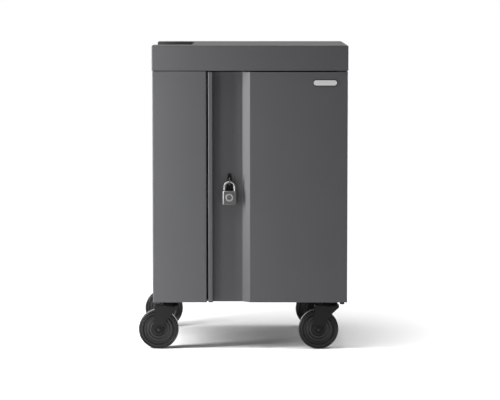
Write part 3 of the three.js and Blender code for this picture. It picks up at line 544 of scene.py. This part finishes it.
def padlockShackle(look):
    low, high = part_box("padlock_shackle")
    rod = look["rod"] * mm
    crown = (high.x - low.x - rod) / 2
    bend = Vector(((low.x + high.x) / 2, (low.y + high.y) / 2, high.z - rod / 2 - crown))
    shortEnd = low.z + look["legDifference"] * mm
    bm = bmesh.new()
    foot = Matrix.Translation((bend.x + crown, bend.y, shortEnd))
    bmesh.ops.create_circle(bm, cap_ends=True, segments=look["sides"], radius=rod / 2, matrix=foot)
    start = extrudeFace(bm, bm.faces[:][0], alongZ * (bend.z - shortEnd))
    arch = bmesh.ops.spin(bm, geom=[start], cent=bend, axis=-alongY, angle=math.pi, steps=look["crownSteps"],
                          use_merge=False, use_duplicate=False)["geom_last"]
    over = [item for item in arch if isinstance(item, bmesh.types.BMFace)][0]
    extrudeFace(bm, over, alongZ * (low.z - bend.z))
    inside = [face for face in bm.faces if all(len(edge.link_faces) > 2 for edge in face.edges)]
    bmesh.ops.delete(bm, geom=inside, context="FACES_ONLY")
    bmesh.ops.recalc_face_normals(bm, faces=bm.faces[:])
    bevelEdges(bm, sharpEdges(bm.edges), look["tip"])
    finishPiece(bm, "bent_shackle", nodeBody["padlock_shackle"], "shackle_steel", ["padlock_shackle"])


# Ring on the padlock's face, half round
ringLook = {"wall": 4.6, "steps": 64}


def padlockRing(look):
    size, middle = sizeOf("padlock_ring"), middleOf("padlock_ring")
    outer, half = size.x / 2, size.y / 2
    section = [(outer, half), (outer, -0.2 * half), (outer - 0.5, -0.8 * half), (outer - 1.1, -half),
               (outer - look["wall"] + 1.1, -half), (outer - look["wall"] + 0.5, -0.8 * half),
               (outer - look["wall"], -0.2 * half), (outer - look["wall"], half)]
    bm = bmesh.new()
    addTurned(bm, section, middle, alongY, look["steps"], ring=True)
    finishPiece(bm, "padlock_face_ring", nodeBody["padlock_ring"], "shackle_steel", ["padlock_ring"])


# Bare capsule plate on the door: a brushed face set in a dark rim
plateLook = {"rim": 1.7, "soft": 0.25, "endSteps": 16, "sunk": 0.3}


def addCapsule(bm, middle, size, steps):
    addBlock(bm, middle, size)
    bevelEdges(bm, edgesAlong(bm, alongY), size[2] / 2 - 0.01, steps)
    bmesh.ops.remove_doubles(bm, verts=bm.verts[:], dist=0.02 * mm)


def frontFace(bm):
    return min(bm.faces, key=lambda face: face.calc_center_median().y)


def namePlate(look):
    size, middle, body = sizeOf("name_plate"), middleOf("name_plate"), nodeBody["name_plate"]
    rim = bmesh.new()
    addCapsule(rim, middle, size, look["endSteps"])
    bevelEdges(rim, list(frontFace(rim).edges), look["soft"])
    face = frontFace(rim)
    bmesh.ops.inset_region(rim, faces=[face], thickness=look["rim"] * mm)
    bmesh.ops.inset_region(rim, faces=[face], thickness=look["sunk"] * mm, depth=-2 * look["sunk"] * mm)
    finishPiece(rim, "name_plate_rim", body, "black_paint", ["name_plate"])
    inner = bmesh.new()
    inside = 2 * (look["rim"] + look["sunk"])
    addCapsule(inner, middle, (size.x - inside, size.y - 2 * look["sunk"], size.z - inside), look["endSteps"])
    bevelEdges(inner, list(frontFace(inner).edges), look["soft"] / 2)
    finishPiece(inner, "name_plate_face", body, "plate_metal", ["name_plate"])


padlockShackle(shackleLook)
padlockRing(ringLook)
namePlate(plateLook)
print("padlock and plate made")


# Flat ring between two outlines with rounded corners, given in millimetres on a place's own plane
def addOutline(bm, place, corners, radius, steps):
    verts = [bm.verts.new(place @ Vector((x * mm, y * mm, 0))) for x, y in corners]
    before = set(bm.edges)
    bm.faces.new(verts)
    bmesh.ops.bevel(bm, geom=verts, offset=radius * mm, offset_type="OFFSET", segments=steps, profile=0.5,
                    affect="VERTICES", clamp_overlap=True, material=-1)
    face = [edge for edge in bm.edges if edge not in before][0].link_faces[0]
    edges = list(face.edges)
    bmesh.ops.delete(bm, geom=[face], context="FACES_ONLY")
    return edges


def addRing(bm, place, outer, inner, radii, steps, thickness, soft):
    before = set(bm.faces)
    loops = addOutline(bm, place, outer, radii[0], steps) + addOutline(bm, place, inner, radii[1], steps)
    flat = bmesh.ops.bridge_loops(bm, edges=loops)["faces"]
    made = bmesh.ops.extrude_face_region(bm, geom=flat, use_keep_orig=True)["geom"]
    rise = place.to_3x3() @ alongZ * thickness * mm
    bmesh.ops.translate(bm, verts=[item for item in made if isinstance(item, bmesh.types.BMVert)], vec=rise)
    faces = [face for face in bm.faces if face not in before]
    bmesh.ops.recalc_face_normals(bm, faces=faces)
    bevelEdges(bm, sharpEdges({edge for face in faces for edge in face.edges}), soft)


def boxCorners(low, high):
    return [(low[0], low[1]), (high[0], low[1]), (high[0], high[1]), (low[0], high[1])]


# Lock tab: a foot behind the door, painted black as painted shade for the shadow seen through the slot, and a blade in
# the door's paint in front of it
tabLook = {"sheet": 1.5, "soft": 0.4}


def lockTab(look):
    parting = Vector((0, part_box("door_panel")[1].y - look["sheet"] / 2 * mm, 0))
    # the foot's black is painted shade: it stands in for the shadow behind the slot
    for name, ahead, slot in (("lock_tab_shaded_foot", 1, "black_paint"), ("lock_tab_blade", -1, "cabinet_paint")):
        bm = bmesh.new()
        bm.from_mesh(frame["nodes"]["lock_tab"].data)
        bmesh.ops.remove_doubles(bm, verts=bm.verts[:], dist=weld)
        cutEdges = bmesh.ops.bisect_plane(bm, geom=bm.verts[:] + bm.edges[:] + bm.faces[:], dist=weld,
                                          plane_co=parting, plane_no=alongY * ahead, clear_inner=True)["geom_cut"]
        bmesh.ops.edgenet_fill(bm, edges=[item for item in cutEdges if isinstance(item, bmesh.types.BMEdge)])
        bmesh.ops.dissolve_limit(bm, angle_limit=math.radians(0.5), use_dissolve_boundaries=False,
                                 verts=bm.verts[:], edges=bm.edges[:], delimit=set())
        bmesh.ops.recalc_face_normals(bm, faces=bm.faces[:])
        bevelEdges(bm, sharpEdges(bm.edges, softenAngle), look["soft"])
        finishPiece(bm, name, nodeBody["lock_tab"], slot, ["lock_tab"])


# Black guard round the tab's slot, wider towards the padlock; its black is partly painted shade, standing in for the
# padlock's shadow and the dark opening round the tab
paintedShadeGuardLook = {
    "sheet": 1.5, "thickness": 0.9, "soft": 0.25, "radius": 3.0, "steps": 4,
    "slot": (8.4, 50.4), "slotDrop": 0.9, "topWidth": 10.6, "footWidth": 22.0, "rim": 1.6, "foot": 6.8,
}


def slotGuardPaintedShade(look):
    middle = middleOf("lock_tab")
    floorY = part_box("door_panel")[1].y - look["sheet"] * mm
    place = standing(Vector((middle.x, floorY, middle.z - look["slotDrop"] * mm)), -alongY)
    halfWide, halfTall = look["slot"][0] / 2, look["slot"][1] / 2
    top, foot = halfTall + look["rim"], -halfTall - look["foot"]
    outer = [(-look["footWidth"] / 2, foot), (look["footWidth"] / 2, foot),
             (look["topWidth"] / 2, top), (-look["topWidth"] / 2, top)]
    inner = boxCorners((-halfWide, -halfTall), (halfWide, halfTall))
    bm = bmesh.new()
    addRing(bm, place, outer, inner, (look["radius"], 0.5), look["steps"], look["thickness"], look["soft"])
    # black paint here is painted shade round the tab as well as the guard's own colour
    finishPiece(bm, "slot_guard_painted_shade", nodeBody["door_panel"], "black_paint")


# Rubber sleeves on the edges of the two cable openings
sleeveLook = {"margin": 5.0, "lapOut": 3.0, "lapIn": 1.4, "corner": 15.0, "wall": 1.1, "steps": 6, "soft": 0.9}


def cableSleeve(tier, look):
    opening = next(row for row in record["physics"]["openings"] if row["name"] == f"{tier}_cable_opening")
    low, high = (Vector(point) / mm for point in opening["box_m"])
    sheetLow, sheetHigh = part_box("bay_partition")
    place = standing(Vector((sheetLow.x - look["wall"] * mm, 0, 0)), alongX)
    turn = place.inverted()
    corners = [turn @ Vector((sheetLow.x, y * mm, z * mm)) / mm for y, z in boxCorners(low.yz, high.yz)]
    middle = (corners[0] + corners[2]) / 2

    def grown(by):
        return [(point.x + math.copysign(by, point.x - middle.x), point.y + math.copysign(by, point.y - middle.y))
                for point in corners]

    bm = bmesh.new()
    thickness = (sheetHigh.x - sheetLow.x) / mm + 2 * look["wall"]
    addRing(bm, place, grown(look["margin"] + look["lapOut"]), grown(look["margin"] - look["lapIn"]),
            (look["corner"] + look["lapOut"], look["corner"] - look["lapIn"]), look["steps"], thickness, look["soft"])
    finishPiece(bm, f"{tier}_cable_sleeve", nodeBody["bay_partition"], "black_moulding")


lockTab(tabLook)
slotGuardPaintedShade(paintedShadeGuardLook)
for tier in tiers:
    cableSleeve(tier, sleeveLook)
print("slot guard and cable sleeves made")


# Push grip across the hand notch, swelling from its necks
gripLook = {"neck": 8.2, "neckLength": 6.0, "taper": 24.0, "taperSteps": 10, "steps": 48, "soft": 0.8}


def pushGrip(look):
    size, middle = sizeOf("push_grip"), middleOf("push_grip")
    full, end = size.x / 2, size.y / 2
    swell = full - look["neck"]
    half = [(0, end), (look["neck"] - look["soft"], end), (look["neck"], end - look["soft"])]
    for i in range(look["taperSteps"] + 1):
        run = i / look["taperSteps"]
        half.append((look["neck"] + swell * (1 - math.cos(math.pi * run)) / 2, end - look["neckLength"] - look["taper"] * run))
    bm = bmesh.new()
    addTurned(bm, bothSides(half), middle, alongY, look["steps"])
    finishPiece(bm, "turned_push_grip", nodeBody["push_grip"], "black_moulding", ["push_grip"])


pushGrip(gripLook)


# Outlet strips: a rounded housing with a column of sockets that face the charger bay
stripLook = {"outlets": 6, "corner": 5.0, "soft": 0.8, "rise": 2.0, "ring": 17.0, "dish": 14.0, "dishDepth": 1.2,
             "insert": 16.0, "insertDepth": 1.4, "cells": 8, "slitDepth": 1.0, "steps": 48}


def outletStrip(tier, look):
    node = f"{tier}_outlet_strip"
    low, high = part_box(node)
    size, middle = sizeOf(node), middleOf(node)
    housing = bmesh.new()
    faceX = low.x + look["rise"] * mm
    addBlock(housing, middle + alongX * look["rise"] / 2 * mm, (size.x - look["rise"], size.y, size.z))
    bevelEdges(housing, edgesAlong(housing, alongZ), look["corner"], 6)
    bevelEdges(housing, sharpEdges(housing.edges), look["soft"])
    pitch = (high.z - low.z) / look["outlets"]
    inserts = bmesh.new()
    for i in range(look["outlets"]):
        centre = Vector((faceX, middle.y, low.z + (i + 0.5) * pitch))
        ring = [(0, -0.5), (look["ring"], -0.5), (look["ring"], look["rise"] - 0.6), (look["ring"] - 0.6, look["rise"]),
                (look["dish"] + 0.8, look["rise"]), (look["dish"], look["rise"] - look["dishDepth"]), (0, look["rise"] - look["dishDepth"])]
        addTurned(housing, ring, centre, -alongX, look["steps"])
        addSocket(inserts, centre - alongX * (look["rise"] - look["dishDepth"] + 1.1) * mm, look)
    rims = [edge for edge in inserts.edges if edge.is_boundary]
    skirt = bmesh.ops.extrude_edge_only(inserts, edges=rims)["geom"]
    bmesh.ops.translate(inserts, verts=[item for item in skirt if isinstance(item, bmesh.types.BMVert)],
                        vec=alongX * look["insertDepth"] * mm)
    backs = [item for item in skirt if isinstance(item, bmesh.types.BMEdge)]
    bmesh.ops.holes_fill(inserts, edges=backs, sides=0)
    bmesh.ops.recalc_face_normals(inserts, faces=inserts.faces[:])
    finishPiece(housing, f"{tier}_strip_housing", nodeBody[node], "black_moulding", [node])
    finishPiece(inserts, f"{tier}_strip_sockets", nodeBody[node], "black_moulding")


# Square socket face with two upright slits over one earth hole, sunk into it
def addSocket(bm, centre, look):
    cells, half = look["cells"], look["insert"] / 2
    place = standing(centre, -alongX)
    made = bmesh.ops.create_grid(bm, x_segments=cells, y_segments=cells, size=half * mm, matrix=place)
    faces = list({face for vert in made["verts"] for face in vert.link_faces})
    cell = 2 * half / cells * mm

    def inHole(face):
        offset = face.calc_center_median() - centre
        column, row = offset.y / cell, offset.z / cell
        slit = 1 < abs(column) < 3 and 0 < row < 3 and abs(column) > 1.9
        earth = abs(column) < 1 and -3 < row < -1
        return slit or earth

    holes = [face for face in faces if inHole(face)]
    sunk = bmesh.ops.extrude_face_region(bm, geom=holes)["geom"]
    bmesh.ops.translate(bm, verts=[item for item in sunk if isinstance(item, bmesh.types.BMVert)],
                        vec=alongX * look["slitDepth"] * mm)
    bmesh.ops.delete(bm, geom=[face for face in holes if face.is_valid], context="FACES_ONLY")


for tier in tiers:
    outletStrip(tier, stripLook)
print("grip and outlet strips made")


# Blades of the power inlet, sleeved over the moulded ones
bladeLook = {"width": 2.3, "height": 5.3, "length": 9.2, "pitch": 6.25, "shift": 2.0, "cavity": 16.0, "soft": 0.4}


def inletBlades(look):
    middle, back = middleOf("power_inlet"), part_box("power_inlet")[1].y
    bm = bmesh.new()
    for side in (-1, 0, 1):
        drop = -look["shift"] if side else look["shift"]
        point = Vector((middle.x + side * look["pitch"] * mm, back - (look["cavity"] - look["length"] / 2) * mm,
                        middle.z + drop * mm))
        addBlock(bm, point, (look["width"], look["length"], look["height"]), look["soft"])
    finishPiece(bm, "inlet_blades", nodeBody["power_inlet"], "zinc_steel")


inletBlades(bladeLook)


# Domed screws with a round recess, as many as their places
screwLook = {"head": 4.2, "height": 1.9, "recess": 1.5, "recessDepth": 1.1, "steps": 24}


def addScrew(bm, point, axis, look, scale=1.0):
    head, height, recess = (look[key] * scale for key in ("head", "height", "recess"))
    depth = look["recessDepth"] * scale
    dome = [(0, height - depth), (recess, height - depth), (recess, height - 0.1 * scale)]
    dome += [(recess + (head - recess) * math.sin(math.radians(a)), height * math.cos(math.radians(a)))
             for a in (15, 35, 55, 75)]
    addTurned(bm, dome + [(head, 0), (0, 0)], point, axis, look["steps"])


backScrews = {"inset": 9.0, "rows": 6, "columns": 4}


def backPanelScrews(look):
    low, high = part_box("back_panel")
    inset = look["inset"] * mm
    bm = bmesh.new()
    for i in range(look["rows"]):
        z = low.z + 2 * inset + (high.z - low.z - 4 * inset) * i / (look["rows"] - 1)
        for x in (low.x + inset, high.x - inset):
            addScrew(bm, Vector((x, high.y, z)), alongY, screwLook)
    for i in range(look["columns"]):
        x = low.x + (high.x - low.x) * (i + 1) / (look["columns"] + 1)
        for z in (low.z + 1.6 * inset, high.z - 1.6 * inset):
            addScrew(bm, Vector((x, high.y, z)), alongY, screwLook)
    finishPiece(bm, "back_panel_screws", nodeBody["back_panel"], "dark_steel")


strikeScrews = {"apart": 28.0, "scale": 0.9}


def strikePlateScrews(look):
    middle, front = middleOf("lock_strike"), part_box("lock_strike")[0].y
    bm = bmesh.new()
    for side in (-1, 1):
        point = Vector((middle.x, front, middle.z + side * look["apart"] / 2 * mm))
        addScrew(bm, point, -alongY, {**screwLook, "height": 1.1, "recessDepth": 0.7}, look["scale"])
    finishPiece(bm, "strike_screws", nodeBody["lock_strike"], "zinc_steel")


# Rivets at the ends of the shelf's front flange
shelfRivets = {"inset": 14.0, "apart": 26.0, "drop": 25.0, "scale": 0.85}


def shelfFlangeRivets(look):
    low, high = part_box("middle_shelf")
    bm = bmesh.new()
    for x in (low.x + look["inset"] * mm, high.x - look["inset"] * mm):
        for side in (-1, 1):
            z = high.z - (look["drop"] + side * look["apart"] / 2) * mm
            addScrew(bm, Vector((x, low.y, z)), -alongY, screwLook, look["scale"])
    finishPiece(bm, "shelf_rivets", nodeBody["middle_shelf"], "dark_steel")


# Black bolt head under the base beside the lower pivot
footBolt = {"inset": 15.4, "back": 14.0, "neck": 5.0, "neckLength": 2.6, "head": 8.2, "headThick": 9.4}


def pivotFootBolt(look):
    low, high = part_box("door_panel")
    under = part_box("front_right_caster_plate")[1].z
    point = Vector((high.x - look["inset"] * mm, low.y + look["back"] * mm, under))
    bm = bmesh.new()
    addPrism(bm, 32, point, -alongZ, look["neck"], look["neckLength"], 0.2)
    addPrism(bm, 6, point - alongZ * look["neckLength"] * mm, -alongZ, look["head"], look["headThick"], 0.5)
    finishPiece(bm, "pivot_foot_bolt", nodeBody["base_pan"], "black_paint")


backPanelScrews(backScrews)
strikePlateScrews(strikeScrews)
shelfFlangeRivets(shelfRivets)
pivotFootBolt(footBolt)
print("screws and blades made")


# Floor, light and surroundings
studio = {
    "floorSize": 600.0, "floorTone": 0.98, "backdrop": 0.74, "sheet": 1.06,
    "suns": {
        "overhead_left": {"strength": 1.92, "spread": 35.0, "tilt": (10.0, -12.0)},
        "overhead_right": {"strength": 0.98, "spread": 35.0, "tilt": (-10.0, 20.0)},
    },
    "softboxes": {
        "side_key": {"place": (-0.85, -0.507, 0.77), "aim": (0.0, -0.28, 0.55), "size": (0.08, 1.16), "power": 17.0},
        "far_key": {"place": (-1.21, -0.530, 0.80), "aim": (0.0, -0.28, 0.55), "size": (0.06, 0.8), "power": 9.5},
        "front_fill": {"place": (-1.10, -1.20, 0.70), "aim": (0.0, -0.28, 0.55), "size": (0.3, 1.2), "power": 6.4},
        "floor_fill": {"place": (1.20, 0.10, 0.85), "aim": (0.55, -0.20, 0.0), "size": (0.5, 0.3), "power": 2.1},
        "low_fill": {"place": (-0.35, -1.00, 0.10), "aim": (-0.10, -0.28, 0.20), "size": (0.8, 0.15), "power": 0.8},
    },
}


def makeFloor(setup):
    bm = bmesh.new()
    bmesh.ops.create_grid(bm, x_segments=1, y_segments=1, size=setup["floorSize"] / 2)
    mesh = bpy.data.meshes.new("studio_floor")
    bm.to_mesh(mesh)
    bm.free()
    material = bpy.data.materials.new("studio_floor")
    material.use_nodes = True
    shader = material.node_tree.nodes["Principled BSDF"]
    shader.inputs["Base Color"].default_value = (*grey(setup["floorTone"]), 1)
    shader.inputs["Roughness"].default_value = 0.9
    shader.inputs["Specular IOR Level"].default_value = 0.1
    mesh.materials.append(material)
    floor = bpy.data.objects.new("studio_floor", mesh)
    bpy.context.scene.collection.objects.link(floor)


# Surroundings: a glow from behind the cart, with a plain white backdrop in sight
def makeWorld(setup):
    world = bpy.data.worlds.new("studio")
    world.use_nodes = True
    tree = world.node_tree
    split = addNode(tree, "ShaderNodeSeparateXYZ")
    tree.links.new(addNode(tree, "ShaderNodeTexCoord").outputs["Generated"], split.inputs["Vector"])
    glow = addMath(tree, "MULTIPLY", addMath(tree, "MAXIMUM", split.outputs["Y"], 0), setup["backdrop"])
    sheet = addNode(tree, "ShaderNodeMapRange", {"From Min": 0.85, "From Max": 0.97}, interpolation_type="SMOOTHSTEP")
    tree.links.new(split.outputs["Y"], sheet.inputs["Value"])
    sight = addNode(tree, "ShaderNodeLightPath")
    seen = addMath(tree, "MAXIMUM", sheet.outputs["Result"], sight.outputs["Is Camera Ray"])
    white = addMath(tree, "MULTIPLY", seen, setup["sheet"])
    background = tree.nodes["Background"]
    background.inputs["Color"].default_value = (1, 1, 1, 1)
    tree.links.new(addMath(tree, "MAXIMUM", glow, white), background.inputs["Strength"])
    bpy.context.scene.world = world


def makeSoftbox(name, box):
    light = bpy.data.lights.new(name, "AREA")
    light.shape = "RECTANGLE"
    light.size, light.size_y = box["size"]
    light.energy = box["power"]
    lamp = bpy.data.objects.new(name, light)
    lamp.location = box["place"]
    lamp.rotation_euler = (Vector(box["aim"]) - lamp.location).to_track_quat("-Z", "Y").to_euler()
    lamp.visible_camera = False
    bpy.context.scene.collection.objects.link(lamp)


def makeSun(name, sun):
    light = bpy.data.lights.new(name, "SUN")
    light.energy = sun["strength"]
    light.angle = math.radians(sun["spread"])
    lamp = bpy.data.objects.new(name, light)
    lamp.rotation_euler = [math.radians(angle) for angle in (*sun["tilt"], 0)]
    bpy.context.scene.collection.objects.link(lamp)


makeFloor(studio)
makeWorld(studio)
for name, box in studio["softboxes"].items():
    makeSoftbox(name, box)
for name, sun in studio["suns"].items():
    makeSun(name, sun)
bpy.context.scene.view_settings.view_transform = "Standard"
print("studio lit")
